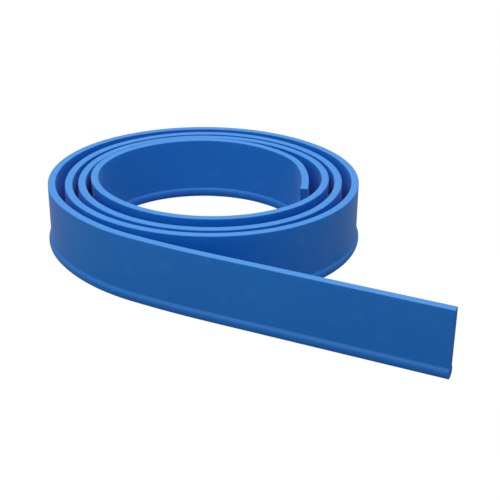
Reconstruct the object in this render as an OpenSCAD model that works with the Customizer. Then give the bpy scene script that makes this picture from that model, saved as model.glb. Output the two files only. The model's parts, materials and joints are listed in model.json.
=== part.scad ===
// Squeegee blade stock: one strip of extruded polyurethane, sold as a loose coil.
// A flat web stands on edge over a round bead, and the bead is the edge that a
// squeegee handle's channel grips.
// The strip is drawn as a chain of tangent arcs from its inner end to its cut outer end.
// The wound coil is one body, cut by turns. Both free ends bend, so each of them is cut
// into short stretches with upright flex lines between them.

/* [Strip section] */
// Height of the strip as it stands, from the bottom of the bead to the top edge
strip_h = 50; // [40:0.5:60]
// Thickness of the flat web
web_t = 5.6; // [4:0.1:6]
// Diameter of the round bead along the bottom edge
bead_d = 9.4; // [8:0.1:9.4]

/* [Coil] */
// Direction in which the strip sets off from its inner end, in degrees from +X
inner_heading = 80; // [75:1:90]
// Bend radius of the nearly straight stretch behind the inner cut end
inner_tip_r = 120; // [100:1:200]
// Angle of that stretch
inner_tip_sweep = 22; // [15:1:25]
// Bend radius between that stretch and the first turn
inner_bend_r = 53; // [45:0.5:62]
// Angle of that bend
inner_bend_sweep = 26; // [20:1:30]
// Bend radius at the back, left and front of the first turn
turn_1_radii = [86, 71.5, 93.5]; // [70:0.5:110]
// Bend radius at the right, back, left and front of the second turn
turn_2_radii = [76, 98.5, 86.5, 103]; // [70:0.5:120]
// Bend radius at the right, back, left and front of the third turn
turn_3_radii = [91.5, 108, 96, 114.5]; // [80:0.5:130]
// Bend radius at the right, back and left of the outermost turn
turn_4_radii = [100, 121, 104]; // [90:0.5:140]
// Angle that the outermost turn bends through at the left, before the tail
left_sweep = 83; // [75:1:90]

/* [Tail] */
// Bend radius where the tail leaves the coil
tail_bend_r = 149; // [120:0.5:200]
// Angle of that bend
tail_bend_sweep = 30; // [20:1:40]
// Bend radius of the nearly straight stretch after it
tail_ease_r = 700; // [400:10:1200]
// Angle of that stretch
tail_ease_sweep = 5; // [2:1:8]
// Length of the straight run to the cut end
tail_straight = 167; // [120:1:200]

/* [Flex lines] */
// Gap at a flex line, between one stretch's rounded end and the next one's hollow
flex_gap = 0.3; // [0.2:0.05:0.4]

/* [Hidden] */
$fn = 48;

strip_blue = [0.12, 0.37, 0.69];
quarter = 90;
// Stretches in the inner end behind its cut face, and in the two bending parts of the tail
tip_stretches = 2;
ease_stretches = 2;
straight_stretches = 5;
bead_r = bead_d / 2;
// How far a cutting shape runs past the face that it cuts
past = 1;

// A run of the strip is [bend radius, sweep] to the left, or [0, length] where it is straight.
function repeat(run, n) = [for (i = [1:n]) run];
function quarters(radii) = [for (r = radii) [r, quarter]];

inner_runs = concat(
  repeat([inner_tip_r, inner_tip_sweep / tip_stretches], tip_stretches),
  [[inner_bend_r, inner_bend_sweep]]
);
wound_runs = concat(
  quarters(turn_1_radii),
  quarters(turn_2_radii),
  quarters(turn_3_radii),
  quarters([turn_4_radii[0], turn_4_radii[1]]),
  [[turn_4_radii[2], left_sweep], [tail_bend_r, tail_bend_sweep]]
);
tail_runs = concat(
  repeat([tail_ease_r, tail_ease_sweep / ease_stretches], ease_stretches),
  repeat([0, tail_straight / straight_stretches], straight_stretches)
);
runs = concat(inner_runs, wound_runs, tail_runs);

// Place of a run in the list, by its turn and its side of the coil, or by its number
right = 0;
back = 1;
left = 2;
front = 3;
sides = 4;
wound_at = len(inner_runs);
tail_at = wound_at + len(wound_runs);
function wound_run(turn, side) = wound_at + sides * (turn - 1) + side - 1;

// The strip bends at the joins inside its two free ends, and where they meet the coil.
function bends_at(i) = (i > 0 && i <= wound_at) || (i >= tail_at && i < len(runs));

// A station is [x, y, heading], a place on the strip's centreline. This one lies a
// fraction f of the way along a run that starts at station s.
function along(s, run, f) = run[0] == 0
  ? [s.x + f * run[1] * cos(s.z), s.y + f * run[1] * sin(s.z), s.z]
  : [
      s.x + run[0] * (sin(s.z + f * run[1]) - sin(s.z)),
      s.y - run[0] * (cos(s.z + f * run[1]) - cos(s.z)),
      s.z + f * run[1]
    ];
function chain(first) = [
  for (i = 0, s = first; i <= len(runs); s = i < len(runs) ? along(s, runs[i], 1) : s, i = i + 1) s
];

// The chain is drawn from a first place, then shifted so that the whole strip's box is
// centred over the origin, and the bead rests on z = 0.
samples = 90;
unplaced = chain([0, 0, inner_heading]);
offsets = [
  for (i = [0:len(runs) - 1], j = [0:samples], side = [-bead_r, bead_r])
    let (s = along(unplaced[i], runs[i], j / samples)) [s.x - side * sin(s.z), s.y + side * cos(s.z)]
];
offsets_x = [for (p = offsets) p.x];
offsets_y = [for (p = offsets) p.y];
shift_x = -(min(offsets_x) + max(offsets_x)) / 2;
shift_y = -(min(offsets_y) + max(offsets_y)) / 2;
stations = [for (s = unplaced) [s.x + shift_x, s.y + shift_y, s.z]];

// Section of the strip with its centreline on x = 0 and its bead resting on y = 0
module section() {
  translate([-web_t / 2, bead_r])
    square([web_t, strip_h - bead_r]);
  translate([0, bead_r])
    circle(r = bead_r);
}

// Right half of the section, grown by a gap, for the shapes that turn about a flex line
module half_section(gap = 0) {
  translate([0, bead_r])
    square([web_t / 2 + gap, strip_h - bead_r + (gap > 0 ? past : 0)]);
  intersection() {
    translate([0, bead_r])
      circle(r = bead_r + gap);
    translate([0, -past])
      square([bead_d, strip_h]);
  }
}

// One run of the strip, swept from its station
module run_solid(i) {
  s = stations[i];
  run = runs[i];
  translate([s.x, s.y, 0])
    rotate([0, 0, s.z - quarter])
      if (run[0] == 0)
        translate([0, run[1], 0])
          rotate([quarter, 0, 0])
            linear_extrude(height = run[1])
              section();
      else
        translate([-run[0], 0, 0])
          rotate_extrude(angle = run[1])
            translate([run[0], 0])
              section();
}

// Rounded end of a stretch, a half turn of the section about the flex line
module rounded_end(i) {
  s = stations[i];
  translate([s.x, s.y, 0])
    rotate([0, 0, s.z + quarter])
      rotate_extrude(angle = 2 * quarter)
        half_section();
}

// Hollow that the next stretch's rounded end turns in
module hollow(i) {
  s = stations[i];
  translate([s.x, s.y, 0])
    rotate([0, 0, s.z])
      rotate_extrude()
        half_section(flex_gap);
}

// One piece of the strip, with a rounded end and a hollow where it meets a flex line
module piece(i) {
  color(strip_blue)
    difference() {
      union() {
        run_solid(i);
        if (bends_at(i)) rounded_end(i);
      }
      if (bends_at(i + 1)) hollow(i + 1);
    }
}

// Bending inner end, numbered from its cut face
module inner_end(n) {
  piece(n - 1);
}

// Quarter turn of the wound coil
module turn(n, side) {
  piece(wound_run(n, side));
}

// Start of the tail, which stays with the coil
module tail_bend() {
  piece(tail_at - 1);
}

// Bending tail, numbered from the coil to its cut face
module tail(n) {
  piece(tail_at + n - 1);
}

inner_end(1);  // inner_end_1
inner_end(2);  // inner_end_2
inner_end(3);  // inner_end_3
turn(1, back);  // turn_1_back
turn(1, left);  // turn_1_left
turn(1, front);  // turn_1_front
turn(2, right);  // turn_2_right
turn(2, back);  // turn_2_back
turn(2, left);  // turn_2_left
turn(2, front);  // turn_2_front
turn(3, right);  // turn_3_right
turn(3, back);  // turn_3_back
turn(3, left);  // turn_3_left
turn(3, front);  // turn_3_front
turn(4, right);  // turn_4_right
turn(4, back);  // turn_4_back
turn(4, left);  // turn_4_left
tail_bend();
tail(1);  // tail_1
tail(2);  // tail_2
tail(3);  // tail_3
tail(4);  // tail_4
tail(5);  // tail_5
tail(6);  // tail_6
tail(7);  // tail_7
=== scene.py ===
# %% [markdown]
# A loose coil of squeegee blade stock.
# The real object is one strip of blue polyurethane, pushed hot through a shaped die and
# cooled. It has a flat web and a round bead along one edge. It stands on the bead, wound
# three and a half times round, and its outer end runs out straight.
# The CAD model gives the frame: the strip's path, its bodies and its flex lines. This
# script draws the strip again as one smooth run of rubber that bends across those lines.

import json
import math

import bmesh
import bpy
from mathutils import Matrix, Vector
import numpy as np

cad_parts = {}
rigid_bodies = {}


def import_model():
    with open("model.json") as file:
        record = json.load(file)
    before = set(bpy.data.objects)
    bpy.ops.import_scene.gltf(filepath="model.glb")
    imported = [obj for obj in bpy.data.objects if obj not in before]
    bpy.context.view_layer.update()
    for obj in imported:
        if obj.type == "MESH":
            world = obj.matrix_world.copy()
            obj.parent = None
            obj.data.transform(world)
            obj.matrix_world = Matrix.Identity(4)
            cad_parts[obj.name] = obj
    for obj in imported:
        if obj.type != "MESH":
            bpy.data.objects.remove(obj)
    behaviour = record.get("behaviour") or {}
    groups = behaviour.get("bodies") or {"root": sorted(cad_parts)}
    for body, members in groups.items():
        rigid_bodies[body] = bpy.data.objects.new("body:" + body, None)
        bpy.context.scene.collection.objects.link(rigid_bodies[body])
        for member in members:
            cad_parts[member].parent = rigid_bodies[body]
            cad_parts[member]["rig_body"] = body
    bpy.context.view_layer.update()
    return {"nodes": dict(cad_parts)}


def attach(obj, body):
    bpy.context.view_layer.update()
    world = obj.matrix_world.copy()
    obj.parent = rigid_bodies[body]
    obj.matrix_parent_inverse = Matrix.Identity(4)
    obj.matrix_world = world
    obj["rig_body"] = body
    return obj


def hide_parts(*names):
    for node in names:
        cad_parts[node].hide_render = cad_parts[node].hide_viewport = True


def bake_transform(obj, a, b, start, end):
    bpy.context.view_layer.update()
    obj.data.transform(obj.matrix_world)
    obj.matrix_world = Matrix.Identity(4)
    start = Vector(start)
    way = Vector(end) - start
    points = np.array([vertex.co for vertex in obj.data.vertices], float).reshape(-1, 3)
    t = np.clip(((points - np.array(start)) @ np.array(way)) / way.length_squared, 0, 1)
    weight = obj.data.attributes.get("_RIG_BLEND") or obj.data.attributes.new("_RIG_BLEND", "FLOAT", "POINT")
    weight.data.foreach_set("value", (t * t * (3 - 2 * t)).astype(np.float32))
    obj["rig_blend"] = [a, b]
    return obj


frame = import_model()
MM = 0.001

# %% [markdown]
# The camera stands a little under a metre from the coil and looks down on it by 26
# degrees. A long lens, 80 mm, keeps the turns from spreading towards the viewer. It is
# turned first about its own line of sight, then tipped down, then turned about the
# vertical, which is the order in which a tripod head is set.

# %% Camera
LENS_MM = 80.0
CAMERA_AT = Vector((18.9, -740.7, 376.4)) * MM
TIP_DOWN = math.radians(26.27)
ROLL = math.radians(0.57)
YAW = math.radians(0.36)

camera_data = bpy.data.cameras.new("camera")
camera_data.lens = LENS_MM
camera_data.sensor_width = 36.0
camera_data.clip_start = 0.01
camera = bpy.data.objects.new("camera", camera_data)
bpy.context.scene.collection.objects.link(camera)
camera.matrix_world = (
    Matrix.Translation(CAMERA_AT)
    @ Matrix.Rotation(YAW, 4, "Z")
    @ Matrix.Rotation(math.pi / 2 - TIP_DOWN, 4, "X")
    @ Matrix.Rotation(ROLL, 4, "Z")
)
bpy.context.scene.camera = camera
print("camera at, mm:", [round(c / MM, 1) for c in CAMERA_AT])

# %% [markdown]
# The path of the strip is a chain of arcs and straight runs, each one tangent to the
# last, as in the CAD. A coil that springs open isn't a true spiral. Each quarter turn has
# its own bend radius, tighter at the sides and wider at the back and the front, because
# the coil was squeezed a little as it was laid down. A curve object could follow the same
# path, but the arcs let the section be spun with no change in its thickness.

# %% Path of the strip
QUARTER = 90.0
TURN_RADII = (  # right, back, left and front of each turn, mm. The first has no right.
    (86.0, 71.5, 93.5),
    (76.0, 98.5, 86.5, 103.0),
    (91.5, 108.0, 96.0, 114.5),
    (100.0, 121.0, 104.0),
)
INNER_HEADING = 80.0
TIP_RADIUS, TIP_SWEEP, TIP_STRETCHES = 120.0, 11.0, 2  # mm and degrees, for each stretch
BEND_RADIUS, BEND_SWEEP = 53.0, 26.0
LEFT_SWEEP = 83.0
TAIL_BEND_RADIUS, TAIL_BEND_SWEEP = 149.0, 30.0
EASE_RADIUS, EASE_SWEEP, EASE_STRETCHES = 700.0, 2.5, 2
STRAIGHT_MM, STRAIGHT_STRETCHES = 33.4, 5
STRAIGHT = 0
INNER_CUT_END = (55.016, 25.092)  # mm, in the CAD's frame

# A run is (bend radius in metres, sweep in degrees), or (STRAIGHT, length in metres).
runs = [(TIP_RADIUS * MM, TIP_SWEEP)] * TIP_STRETCHES + [(BEND_RADIUS * MM, BEND_SWEEP)]
INNER_STRETCHES = len(runs)
wound_radii = [r for turn in TURN_RADII for r in turn]
runs += [(r * MM, QUARTER) for r in wound_radii[:-1]]
runs += [(wound_radii[-1] * MM, LEFT_SWEEP), (TAIL_BEND_RADIUS * MM, TAIL_BEND_SWEEP)]
TAIL_AT = len(runs)
runs += [(EASE_RADIUS * MM, EASE_SWEEP)] * EASE_STRETCHES
runs += [(STRAIGHT, STRAIGHT_MM * MM)] * STRAIGHT_STRETCHES


def run_length(run):
    radius, sweep = run
    return sweep if radius == STRAIGHT else radius * math.radians(sweep)


def travel(place, run, share):
    """The place (x, y, heading in degrees) reached after that share of a run."""
    x, y, heading = place
    radius, sweep = run
    a = math.radians(heading)
    if radius == STRAIGHT:
        step = sweep * share
        return x + step * math.cos(a), y + step * math.sin(a), heading
    b = a + math.radians(sweep * share)
    x += radius * (math.sin(b) - math.sin(a))
    y -= radius * (math.cos(b) - math.cos(a))
    return x, y, heading + sweep * share


# A station is where one run ends and the next begins. The first is the inner cut end.
stations = [(INNER_CUT_END[0] * MM, INNER_CUT_END[1] * MM, INNER_HEADING)]
for run in runs:
    stations.append(travel(stations[-1], run, 1.0))


def place_at(station):
    """The place at a station number, which may be a fraction: 2.5 is halfway along run 2."""
    i = min(int(station), len(runs) - 1)
    return travel(stations[i], runs[i], station - i)


def length_at(station):
    """Length of strip from the inner cut end to a station."""
    i = min(int(station), len(runs) - 1)
    return sum(run_length(r) for r in runs[:i]) + (station - i) * run_length(runs[i])


print("strip length, mm:", round(length_at(len(runs)) / MM))
print("outer cut end, mm:", [round(c / MM, 1) for c in stations[-1][:2]])

# %% [markdown]
# The section is what the die gave the strip: a flat web 5.6 mm thick over a round bead
# of 9.4 mm, 50 mm high in all. It starts as the bead's circle. A cut across its top leaves an
# edge exactly as wide as the web, and that edge is extruded up to make the web. The free
# corners are rounded by half a millimetre, and the corner between web and bead has a small
# fillet, because hot polyurethane never leaves a die with a sharp corner.

# %% Section
STRIP_H = 50.0 * MM
WEB_T = 5.6 * MM
BEAD_R = 4.7 * MM
BEAD_SEGMENTS = 36
EDGE_ROUND = 0.5 * MM
FILLET = 0.9 * MM
WEB_ROWS = 6
JOIN_Z = BEAD_R + math.sqrt(BEAD_R**2 - (WEB_T / 2) ** 2)


def near(value, target, slack=0.05 * MM):
    return abs(value - target) < slack


def section(bm):
    """Draws the section as one face in the XZ plane, and returns the face."""
    upright = Matrix.Translation((0, 0, BEAD_R)) @ Matrix.Rotation(math.pi / 2, 4, "X")
    bmesh.ops.create_circle(
        bm, cap_ends=True, segments=BEAD_SEGMENTS, radius=BEAD_R, matrix=upright
    )
    bmesh.ops.bisect_plane(
        bm,
        geom=bm.verts[:] + bm.edges[:] + bm.faces[:],
        plane_co=(0, 0, JOIN_Z),
        plane_no=(0, 0, 1),
        clear_outer=True,
    )
    chord = [e for e in bm.edges if all(near(v.co.z, JOIN_Z) for v in e.verts)]
    widen = WEB_T / chord[0].calc_length()
    bmesh.ops.scale(bm, vec=(widen, 1, 1), verts=chord[0].verts[:])
    grown = bmesh.ops.extrude_edge_only(bm, edges=chord)["geom"]
    top = [v for v in grown if isinstance(v, bmesh.types.BMVert)]
    bmesh.ops.translate(bm, verts=top, vec=(0, 0, STRIP_H - JOIN_Z))
    bmesh.ops.recalc_face_normals(bm, faces=bm.faces[:])
    bmesh.ops.dissolve_edges(bm, edges=chord)
    joins = [v for v in bm.verts if near(v.co.z, JOIN_Z)]
    for verts, offset in ((top, EDGE_ROUND), (joins, FILLET)):
        bmesh.ops.bevel(
            bm,
            geom=verts,
            affect="VERTICES",
            offset=offset,
            segments=4,
            profile=0.5,
            material=-1,
        )
    sides = [e for e in bm.edges if e.calc_length() > STRIP_H / 2]
    bmesh.ops.bisect_edges(bm, edges=sides, cuts=WEB_ROWS)
    bm.faces.ensure_lookup_table()
    return bm.faces[0]


probe = bmesh.new()
face = section(probe)
print("section:", len(face.verts), "points,", round(face.calc_area() / MM**2, 1), "mm2")
OUTLINE = face.calc_perimeter()
probe.free()

# %% [markdown]
# The wall of the coil isn't quite upright. The bead keeps its place on the table, but the
# free edge leans in or out by a few millimetres where one turn presses on the next. The
# lean is given at every eighth of a turn and runs smoothly in between. The values were
# fitted to the line of the real top edge, then held back so that no turn leans through the
# next. A simulation of the bent strip could find them too, but a few numbers repeat exactly.

# %% Lean of the free edge
LEAN_FIRST = 83.0
LEAN_STEP = 45.0
LEAN_IN = (  # mm towards the inside of the coil, from the first turn outwards
    1.2, 0.6, -1.9, -2.1, -2.2, 0.0, 0.6, 0.4, 0.4, 1.4, 1.8, 1.3, 2.0,
    0.5, -0.3, -1.0, 1.1, 2.7, 2.9, 3.2, 2.4, -0.2,
)  # fmt: skip


def lean_at(heading):
    """Lean at a heading, by a smooth curve through the values above."""
    t = (heading - LEAN_FIRST) / LEAN_STEP
    i = math.floor(t)
    t -= i
    a, b, c, d = (
        LEAN_IN[k] if 0 <= k < len(LEAN_IN) else 0.0 for k in range(i - 1, i + 3)
    )
    bend = (2 * a - 5 * b + 4 * c - d) * t**2 + (3 * b - a - 3 * c + d) * t**3
    return MM * (b + 0.5 * ((c - a) * t + bend))


print("greatest lean, mm:", max(LEAN_IN, key=abs))

# %% [markdown]
# Each piece of the strip is the section swept from one station to another. A spin draws a
# run ring by ring: an arc by an angle about its centre, and a straight run by a step
# forwards. The runs are welded where they meet, with no face left inside. Every point keeps
# its distance along the strip and round the section, and the two make a UV map in metres,
# so that the fine lines of the die can follow the strip round every bend.

# %% Sweep of one piece
RING = 2.5 * MM
CUT_ROUND = 0.25 * MM
WELD = 0.001 * MM
LAYERS = ("around", "along", "turned")


def measure_outline(face, around):
    """Writes each corner's distance round the section, from the foot of the bead."""
    loops = list(face.loops)
    foot = min(range(len(loops)), key=lambda k: loops[k].vert.co.z)
    distance = 0.0
    for loop in loops[foot:] + loops[:foot]:
        loop.vert[around] = distance
        distance += loop.edge.calc_length()


def sweep_run(i, begin, end):
    """Spins run i between two stations, and returns it as a closed mesh of its own."""
    bm = bmesh.new()
    around, along, turned = (bm.verts.layers.float.new(name) for name in LAYERS)
    face = section(bm)
    measure_outline(face, around)
    radius, sweep = runs[i]
    x, y, heading = travel(stations[i], runs[i], begin - i)
    a = math.radians(heading)
    start, ahead = Vector((x, y, 0)), Vector((math.cos(a), math.sin(a), 0))
    inward = Vector((-ahead.y, ahead.x, 0))
    stand = Matrix.Rotation(math.radians(heading - QUARTER), 4, "Z")
    bmesh.ops.transform(bm, matrix=Matrix.Translation(start) @ stand, verts=bm.verts[:])
    length = run_length(runs[i]) * (end - begin)
    rings = max(1, round(length / RING))
    straight = radius == STRAIGHT
    bmesh.ops.spin(
        bm,
        geom=[face, *face.edges, *face.verts],
        cent=start + inward * radius,
        axis=(0, 0, 1),
        angle=0.0 if straight else length / radius,
        dvec=ahead * length / rings if straight else Vector(),
        steps=rings,
    )
    for v in bm.verts:
        ahead_by, inward_by = (v.co - start).dot(ahead), (v.co - start).dot(inward)
        angle = 0.0 if straight else math.atan2(ahead_by, radius - inward_by)
        v[along] = length_at(begin) + (ahead_by if straight else radius * angle)
        v[turned] = heading + math.degrees(angle)
    return bm


def end_caps(bm):
    """The two end faces of a swept mesh, in order along the strip."""
    along = bm.verts.layers.float["along"]
    return sorted((f for f in bm.faces if len(f.verts) > 4), key=lambda f: f.verts[0][along])


def sweep_strip(first, last, cut_first=False, cut_last=False):
    """Draws the strip from one station to another, as a closed mesh with a UV map."""
    bm = bmesh.new()
    begin_run, end_run = int(first), math.ceil(last) - 1
    for i in range(begin_run, end_run + 1):
        part = sweep_run(i, max(first, i), min(last, i + 1))
        caps = end_caps(part)
        inner = [caps[0]] * (i > begin_run) + [caps[1]] * (i < end_run)
        bmesh.ops.delete(part, geom=inner, context="FACES_ONLY")
        carrier = bpy.data.meshes.new("run")
        part.to_mesh(carrier)
        part.free()
        bm.from_mesh(carrier)
        bpy.data.meshes.remove(carrier)
    bmesh.ops.remove_doubles(bm, verts=bm.verts[:], dist=WELD)
    around, along, turned = (bm.verts.layers.float[name] for name in LAYERS)
    lean_edge(bm, turned)
    bmesh.ops.recalc_face_normals(bm, faces=bm.faces[:])
    write_uv(bm, around, along)
    for f in bm.faces:
        f.smooth = len(f.verts) == 4
    for cap, is_cut in zip(end_caps(bm), (cut_first, cut_last)):
        for e in cap.edges:
            e.smooth = False
        if is_cut:
            cap.material_index = 1
            bmesh.ops.bevel(
                bm,
                geom=cap.edges[:],
                affect="EDGES",
                offset=CUT_ROUND,
                segments=2,
                profile=0.5,
                material=-1,
            )
    return bm


def lean_edge(bm, turned):
    """Moves the web sideways in proportion to its height over the bead."""
    for v in bm.verts:
        a = math.radians(v[turned])
        rise = max(0.0, (v.co.z - JOIN_Z) / (STRIP_H - JOIN_Z))
        v.co += lean_at(v[turned]) * rise * Vector((-math.sin(a), math.cos(a), 0))


def write_uv(bm, around, along):
    """Writes the UV map: distance along the strip, and distance round its section."""
    uv = bm.loops.layers.uv.new("strip")
    for f in bm.faces:
        rounds = [loop.vert[around] for loop in f.loops]
        wraps = max(rounds) - min(rounds) > OUTLINE / 2
        for loop, r in zip(f.loops, rounds):
            loop[uv].uv = (loop.vert[along], r + OUTLINE if wraps and r < OUTLINE / 2 else r)


# %% [markdown]
# Two finishes cover the strip. Most of it is extruded polyurethane: soft, opaque and evenly
# coloured right through, with a satin skin from the die. The eye sees a deep blue that
# pales at a grazing angle, faint lines along the strip, slight clouds in the colour, and a
# dusty bloom where it has been handled. The two ends were cut with a knife, which leaves
# bare rubber with upright drag marks and hardly any gloss.
# Both are built from nodes. Noise on Object coordinates runs on from piece to piece with no
# seam, and the die lines use the UV map in metres, so they turn with the strip.

# %% Helpers for finishes
def linear(hex_colour):
    """An sRGB hex value as the linear colour that a shader takes."""
    parts = [int(hex_colour[k : k + 2], 16) / 255 for k in (1, 3, 5)]
    toned = [c / 12.92 if c <= 0.04045 else ((c + 0.055) / 1.055) ** 2.4 for c in parts]
    return (*toned, 1.0)


def add(material, kind, settings=None, **links):
    """Adds a node. Settings are its properties, and links fill its inputs, each found by
    its name with _ for a space, or by its number after a _."""
    node = material.node_tree.nodes.new(kind)
    for key, value in (settings or {}).items():
        setattr(node, key, value)
    for key, value in links.items():
        by_number = key[1:].isdigit()
        socket = node.inputs[int(key[1:]) if by_number else key.replace("_", " ")]
        if isinstance(value, bpy.types.NodeSocket):
            material.node_tree.links.new(value, socket)
        else:
            socket.default_value = value
    return node


def per_metre(millimetres):
    """Scale of a pattern on coordinates in metres, from the size of one feature."""
    return 1.0 / (millimetres * MM)


# %% [markdown]
# The skin of the strip. Clouds 38 mm wide shift the blue slightly. Dusty bloom comes in
# patches of 14 mm. A pale line along each shoulder of the bead is a painted highlight, where
# the light from above would catch the bead. The top edge is painted paler, partly for the wear
# where it rubs and partly as a painted highlight from the overhead light. The lines of the die
# and the grain are finer on real rubber than can show here, so they are drawn at 1.4 mm
# and 0.9 mm.

# %% Extruded polyurethane
BLUE_DEEP = "#127ADB"
BLUE_FULL = "#1682E4"
# Pale blue for the patches of dust bloom, and also for the painted highlight along the bead's shoulder.
BLUE_DUST_AND_HIGHLIGHT = "#5A9ADC"
BLUE_LINE = "#3A8FE2"
# Paler blue for the top edge: rub wear, and a painted highlight from the light above.
BLUE_WORN_AND_LIT = "#6CB4F2"
TOP_WEAR_AND_HIGHLIGHT = 0.35
SHOULDER_TURN = 125.0  # degrees round the bead from its foot
SHOULDER = OUTLINE / 2 - math.radians(SHOULDER_TURN) * BEAD_R  # from the middle of the top edge
# Strength of the painted highlight line along each shoulder of the bead.
SHOULDER_HIGHLIGHT = 0.3
BLOOM = 0.25
LINE_TINT = 0.12
SATIN = 0.45
CLOUD_MM, BLOOM_MM, GRAIN_MM = 38.0, 14.0, 0.9
LINE_LONG_MM, LINE_MM = 160.0, 1.4
SKIN_IOR = 1.5  # polyurethane


def extruded_polyurethane():
    m = bpy.data.materials.new("extruded_polyurethane")
    m.use_nodes = True
    m.node_tree.nodes.clear()
    place = add(m, "ShaderNodeTexCoord").outputs["Object"]
    strip = add(m, "ShaderNodeUVMap", {"uv_map": "strip"}).outputs["UV"]

    clouds = add(m, "ShaderNodeTexNoise", Vector=place, Scale=per_metre(CLOUD_MM), Detail=3.0)
    bloom = add(
        m,
        "ShaderNodeTexNoise",
        Vector=place,
        Scale=per_metre(BLOOM_MM),
        Detail=5.0,
        Roughness=0.6,
    )
    grain = add(m, "ShaderNodeTexNoise", Vector=place, Scale=per_metre(GRAIN_MM), Detail=2.0)
    stretched = add(
        m,
        "ShaderNodeMapping",
        Vector=strip,
        Scale=(per_metre(LINE_LONG_MM), per_metre(LINE_MM), 1.0),
    )
    lines = add(m, "ShaderNodeTexNoise", Vector=stretched.outputs[0], Scale=1.0, Detail=3.0)

    base = add(
        m,
        "ShaderNodeMix",
        {"data_type": "RGBA"},
        _0=clouds.outputs["Fac"],
        _6=linear(BLUE_DEEP),
        _7=linear(BLUE_FULL),
    )
    dust = add(
        m,
        "ShaderNodeMapRange",
        Value=bloom.outputs["Fac"],
        From_Min=0.58,
        From_Max=0.80,
        To_Min=0.0,
        To_Max=BLOOM,
    )
    dusty = add(
        m,
        "ShaderNodeMix",
        {"data_type": "RGBA"},
        _0=dust.outputs[0],
        _6=base.outputs[2],
        _7=linear(BLUE_DUST_AND_HIGHLIGHT),
    )
    lined = add(
        m,
        "ShaderNodeMapRange",
        Value=lines.outputs["Fac"],
        From_Min=0.3,
        From_Max=0.7,
        To_Min=0.0,
        To_Max=LINE_TINT,
    )
    colour = add(
        m,
        "ShaderNodeMix",
        {"data_type": "RGBA"},
        _0=lined.outputs[0],
        _6=dusty.outputs[2],
        _7=linear(BLUE_LINE),
    )
    round_it = add(m, "ShaderNodeSeparateXYZ", _0=strip).outputs["Y"]
    off_top = add(m, "ShaderNodeMath", {"operation": "SUBTRACT"}, _0=round_it, _1=OUTLINE / 2)
    from_top = add(m, "ShaderNodeMath", {"operation": "ABSOLUTE"}, _0=off_top.outputs[0])
    # The top edge is painted paler: partly rub wear, partly a painted highlight where the overhead light
    # falls on it.
    top_wear_and_highlight = add(
        m,
        "ShaderNodeMapRange",
        Value=from_top.outputs[0],
        From_Min=WEB_T / 2,
        From_Max=WEB_T / 2 + 0.6 * MM,
        To_Min=TOP_WEAR_AND_HIGHLIGHT,
        To_Max=0.0,
    )
    colour = add(
        m,
        "ShaderNodeMix",
        {"data_type": "RGBA"},
        _0=top_wear_and_highlight.outputs[0],
        _6=colour.outputs[2],
        _7=linear(BLUE_WORN_AND_LIT),
    )
    # Painted highlight: a pale line along each shoulder of the bead, where light from above would catch it.
    off_shoulder = add(
        m, "ShaderNodeMath", {"operation": "SUBTRACT"}, _0=from_top.outputs[0], _1=SHOULDER
    )
    from_shoulder = add(m, "ShaderNodeMath", {"operation": "ABSOLUTE"}, _0=off_shoulder.outputs[0])
    painted_shoulder_highlight = add(
        m,
        "ShaderNodeMapRange",
        Value=from_shoulder.outputs[0],
        From_Min=0.2 * MM,
        From_Max=1.6 * MM,
        To_Min=SHOULDER_HIGHLIGHT,
        To_Max=0.0,
    )
    colour = add(
        m,
        "ShaderNodeMix",
        {"data_type": "RGBA"},
        _0=painted_shoulder_highlight.outputs[0],
        _6=colour.outputs[2],
        _7=linear(BLUE_DUST_AND_HIGHLIGHT),
    )
    gloss = add(
        m,
        "ShaderNodeMapRange",
        Value=grain.outputs["Fac"],
        From_Min=0.3,
        From_Max=0.7,
        To_Min=SATIN - 0.05,
        To_Max=SATIN + 0.05,
    )
    skin = add(
        m,
        "ShaderNodeBump",
        Height=grain.outputs["Fac"],
        Strength=0.25,
        Distance=0.03 * MM,
    )
    die = add(
        m,
        "ShaderNodeBump",
        Height=lines.outputs["Fac"],
        Strength=0.35,
        Distance=0.06 * MM,
        Normal=skin.outputs[0],
    )
    shader = add(
        m,
        "ShaderNodeBsdfPrincipled",
        Base_Color=colour.outputs[2],
        Roughness=gloss.outputs[0],
        IOR=SKIN_IOR,
        Specular_IOR_Level=0.35,
        Sheen_Weight=0.12,
        Sheen_Roughness=0.35,
        Normal=die.outputs[0],
    )
    add(m, "ShaderNodeOutputMaterial", Surface=shader.outputs[0])
    return m


polyurethane = extruded_polyurethane()
print("nodes in", polyurethane.name, len(polyurethane.node_tree.nodes))


# %% [markdown]
# A cut face is the inside of the rubber: the same blue, a little deeper, and matt. A knife
# drawn down through soft rubber drags it, so the noise is 0.5 mm wide and 25 mm tall.

# %% Knife-cut ends
CUT_DEEP = "#1368C4"
CUT_PALE = "#1F78D2"
DRAG_MM, DRAG_LONG_MM = 0.5, 25.0


def knife_cut_polyurethane():
    m = bpy.data.materials.new("knife_cut_polyurethane")
    m.use_nodes = True
    m.node_tree.nodes.clear()
    place = add(m, "ShaderNodeTexCoord").outputs["Object"]
    upright = add(
        m,
        "ShaderNodeMapping",
        Vector=place,
        Scale=(per_metre(DRAG_MM), per_metre(DRAG_MM), per_metre(DRAG_LONG_MM)),
    )
    drag = add(m, "ShaderNodeTexNoise", Vector=upright.outputs[0], Scale=1.0, Detail=3.0)
    colour = add(
        m,
        "ShaderNodeMix",
        {"data_type": "RGBA"},
        _0=drag.outputs["Fac"],
        _6=linear(CUT_DEEP),
        _7=linear(CUT_PALE),
    )
    marks = add(
        m,
        "ShaderNodeBump",
        Height=drag.outputs["Fac"],
        Strength=0.5,
        Distance=0.1 * MM,
    )
    shader = add(
        m,
        "ShaderNodeBsdfPrincipled",
        Base_Color=colour.outputs[2],
        Roughness=0.7,
        IOR=SKIN_IOR,
        Normal=marks.outputs[0],
    )
    add(m, "ShaderNodeOutputMaterial", Surface=shader.outputs[0])
    return m


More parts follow.
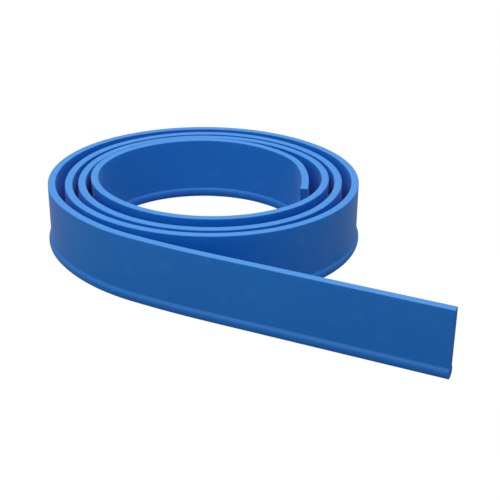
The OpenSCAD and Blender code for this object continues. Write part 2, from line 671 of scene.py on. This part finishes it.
cut_rubber = knife_cut_polyurethane()
print("nodes in", cut_rubber.name, len(cut_rubber.node_tree.nodes))

# %% [markdown]
# The strip bends at ten flex lines, three in the inner end and seven in the tail. A rigid
# piece between two flex lines would show a kink at each. So the strip is divided halfway
# between flex lines instead. Each piece crosses one flex line and blends over it, and two
# pieces meet where both follow the same body, so the joins stay flush at every bend.

# %% Make the pieces
def body_at(run):
    """The CAD body of a run."""
    if run < INNER_STRETCHES:
        return f"inner_end_{run + 1}"
    return "coil" if run < TAIL_AT else f"tail_{run - TAIL_AT + 1}"


def station_past(station, distance):
    """The station number a distance along the strip, within the next or the last run."""
    run = runs[station] if distance > 0 else runs[station - 1]
    return station + distance / run_length(run)


def to_object(name, bm, slots):
    mesh = bpy.data.meshes.new(name)
    bm.to_mesh(mesh)
    bm.free()
    obj = bpy.data.objects.new(name, mesh)
    bpy.context.scene.collection.objects.link(obj)
    for material in slots:
        mesh.materials.append(material)
    return obj


def strip_piece(name, first, last, nodes, cut_first=False, cut_last=False):
    bm = sweep_strip(first, last, cut_first, cut_last)
    obj = to_object(name, bm, (polyurethane, cut_rubber))
    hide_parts(*nodes)
    print(name, "faces", len(obj.data.polygons))
    return obj


flex = [*range(1, INNER_STRETCHES + 1), *range(TAIL_AT, len(runs))]
ends = {}
for station in flex:
    reach = min(run_length(runs[station - 1]), run_length(runs[station])) / 2
    ends[station] = (station_past(station, -reach), station_past(station, reach))

for station in flex:
    before, after = body_at(station - 1), body_at(station)
    first, last = ends[station]
    if station != INNER_STRETCHES and station + 1 in ends:
        last = ends[station + 1][0]
    own = before if after == "coil" or station < INNER_STRETCHES else after
    piece = strip_piece(
        f"strip_{own}",
        0.0 if station == 1 else first,
        float(len(runs)) if station == len(runs) - 1 else last,
        [own],
        cut_first=station == 1,
        cut_last=station == len(runs) - 1,
    )
    blend_from, blend_to = (place_at(s) for s in ends[station])
    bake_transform(piece, before, after, (*blend_from[:2], 0.0), (*blend_to[:2], 0.0))

coil = strip_piece(
    "strip_coil",
    ends[INNER_STRETCHES][1],
    ends[TAIL_AT][0],
    [n for n, o in frame["nodes"].items() if o["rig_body"] == "coil"],
)
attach(coil, "coil")

# %% [markdown]
# The strip stands on a plain pale table in a white room. A wide soft light hangs over it,
# so the free edge is the brightest part, and a weaker one stands to the front left. The
# table looks white from above, but it lights the strip from below only as much as matt grey
# card would, so the walls keep their depth.

# %% Floor
WHITE = "#FFFFFF"
FLOOR_GREY = "#A0A0A0"
FLOOR_RADIUS = 6.0
OVER_WHITE = 1.05
floor_bm = bmesh.new()
bmesh.ops.create_circle(floor_bm, cap_ends=True, segments=64, radius=FLOOR_RADIUS)
matt_white = bpy.data.materials.new("matt_white_table")
matt_white.use_nodes = True
matt_white.node_tree.nodes.clear()
diffuse = add(matt_white, "ShaderNodeBsdfDiffuse", Color=linear(FLOOR_GREY))
glow = add(matt_white, "ShaderNodeEmission", Color=linear(WHITE), Strength=OVER_WHITE)
seen = add(matt_white, "ShaderNodeLightPath").outputs["Is Camera Ray"]
share = add(matt_white, "ShaderNodeMath", {"operation": "MULTIPLY"}, _0=seen, _1=0.95)
both = add(
    matt_white,
    "ShaderNodeMixShader",
    _0=share.outputs[0],
    _1=diffuse.outputs[0],
    _2=glow.outputs[0],
)
add(matt_white, "ShaderNodeOutputMaterial", Surface=both.outputs[0])
floor = to_object("floor", floor_bm, (matt_white,))
print("floor radius, m:", FLOOR_RADIUS)

# %% [markdown]
# The Standard view transform keeps the blue as strong as it is in the finish. The even room
# light stands for the white walls, and the two soft lights for large diffusers.

# %% Room and lights
scene = bpy.context.scene
scene.view_settings.view_transform = "Standard"
scene.view_settings.look = "None"
ROOM_LIGHT = 0.36
AIM = Vector((0, 0, 0.03))
world = bpy.data.worlds.new("white_room")
scene.world = world
world.use_nodes = True
world.node_tree.nodes.clear()
room = add(world, "ShaderNodeBackground", Color=linear(WHITE), Strength=ROOM_LIGHT)
backdrop = add(world, "ShaderNodeBackground", Color=linear(WHITE), Strength=OVER_WHITE)
seen = add(world, "ShaderNodeLightPath").outputs["Is Camera Ray"]
both = add(
    world,
    "ShaderNodeMixShader",
    _0=seen,
    _1=room.outputs[0],
    _2=backdrop.outputs[0],
)
add(world, "ShaderNodeOutputWorld", Surface=both.outputs[0])


def soft_light(name, at, size, power):
    """A square soft light that faces the middle of the coil."""
    light = bpy.data.lights.new(name, "AREA")
    light.shape = "SQUARE"
    light.size = size
    light.energy = power
    obj = bpy.data.objects.new(name, light)
    at = Vector(at)
    obj.location = at
    obj.rotation_euler = (AIM - at).to_track_quat("-Z", "Y").to_euler()
    scene.collection.objects.link(obj)


soft_light("overhead", (-0.05, 0.15, 1.1), 1.2, 10.5)
soft_light("front_left", (-0.9, -1.0, 0.9), 0.9, 2.5)
